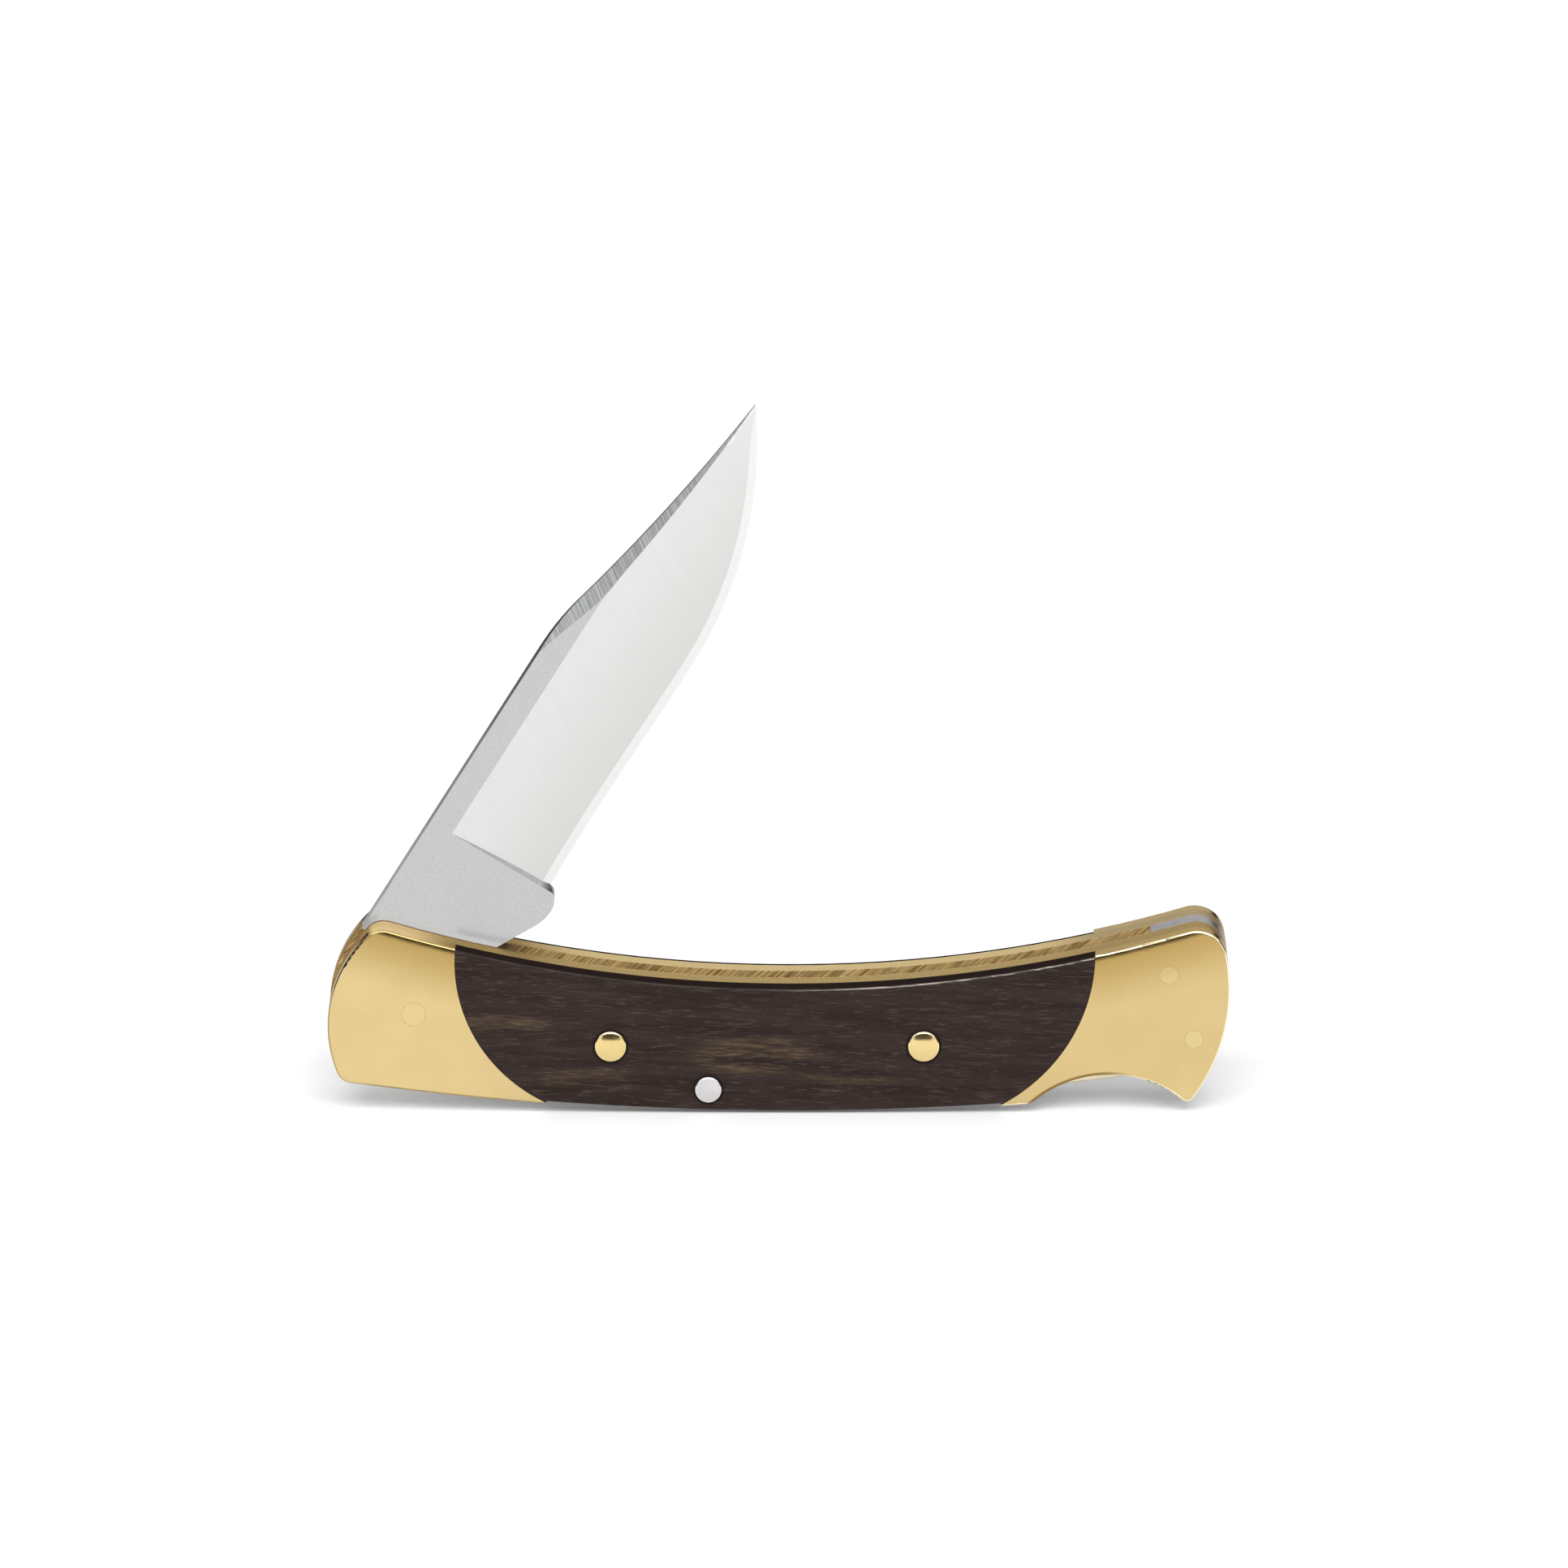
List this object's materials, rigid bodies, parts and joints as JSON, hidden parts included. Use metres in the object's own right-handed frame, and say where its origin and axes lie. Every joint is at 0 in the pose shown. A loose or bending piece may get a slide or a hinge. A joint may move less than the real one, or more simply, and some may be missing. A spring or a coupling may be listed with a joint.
{
  "type": "folding pocket knife",
  "caption": "Folding lockback pocket knife: hollow-ground clip-point blade, brass bolsters and liners, dark wood scales, and a sprung lock bar with a thumb notch in the back.",
  "frame": {"origin": "middle of the handle's length and thickness, at the lowest point of its back", "axes": "+X along the handle from the pivot end to the butt, +Y across the thickness towards the left side, +Z from the back up to the slot"},
  "size_m": [0.0858, 0.0094, 0.0687],
  "materials": {
    "blade_steel": "satin tang and flats, bright hollow grind",
    "spring_steel": "ground",
    "brass": "polished",
    "nickel_silver": "polished",
    "dark_wood": "oiled, close grained"
  },
  "bodies": {
    "handle": {"left_liner": "brass", "right_liner": "brass", "left_front_bolster": "brass", "right_front_bolster": "brass", "left_rear_bolster": "brass", "right_rear_bolster": "brass", "left_scale": "dark_wood", "right_scale": "dark_wood", "left_front_scale_pin": "brass", "right_front_scale_pin": "brass", "left_rear_scale_pin": "brass", "right_rear_scale_pin": "brass", "pivot_pin": "brass", "pivot_bushing": "brass", "rocker_pin": "nickel_silver", "upper_rear_pin": "brass", "lower_rear_pin": "brass", "lock_spring": "spring_steel"},
    "blade": {"blade": "blade_steel"},
    "lock_bar": {"lock_bar": "spring_steel"}
  },
  "joints": [
    {"name": "blade_pivot", "type": "hinge", "parent": "handle", "child": "blade", "pos_m": [-0.0347, 0, 0.00986], "axis": [0, -1, 0], "range_deg": [-58.1, 115.9]},
    {"name": "lock_rocker", "type": "hinge", "parent": "handle", "child": "lock_bar", "pos_m": [-0.0067, 0, 0.0024], "axis": [0, -1, 0], "range_deg": [0, 2], "stiffness_Nm_per_rad": 0.15, "deforming": ["lock_spring"]}
  ]
}
